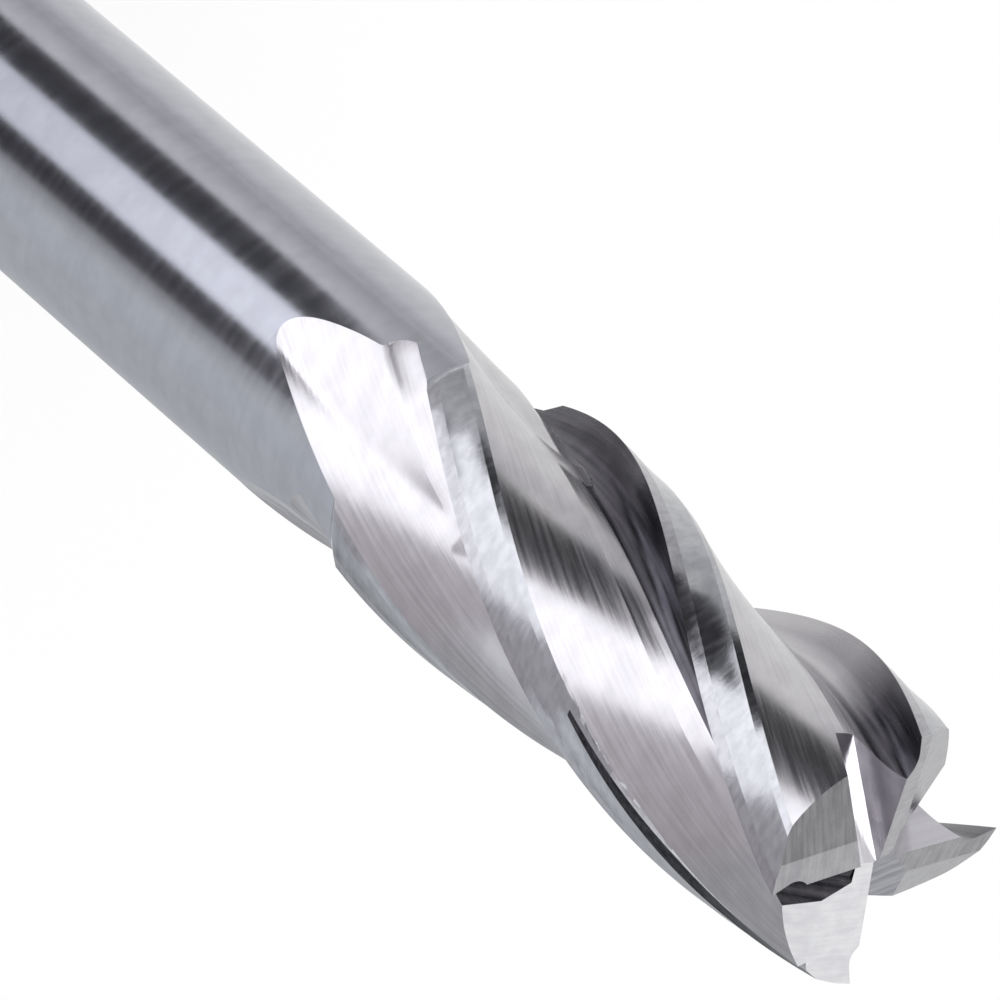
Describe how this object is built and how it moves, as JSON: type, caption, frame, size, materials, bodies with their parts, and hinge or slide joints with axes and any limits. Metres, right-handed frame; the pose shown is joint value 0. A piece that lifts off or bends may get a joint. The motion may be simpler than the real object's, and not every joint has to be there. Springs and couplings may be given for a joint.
{
  "type": "end mill",
  "caption": "Solid square end mill with right-hand helical flutes, relieved lands, gashed end teeth, cone shoulder and plain straight shank.",
  "frame": {"origin": "centre of the shank's end face, on the tool's axis", "axes": "+Z along the tool's axis from the shank to the end teeth; +X through the corner of a long end tooth"},
  "size_m": [0.013, 0.013, 0.083],
  "materials": {
    "tool_steel": "ground bright"
  },
  "bodies": {
    "root": {"end_mill": "tool_steel"}
  },
  "joints": []
}
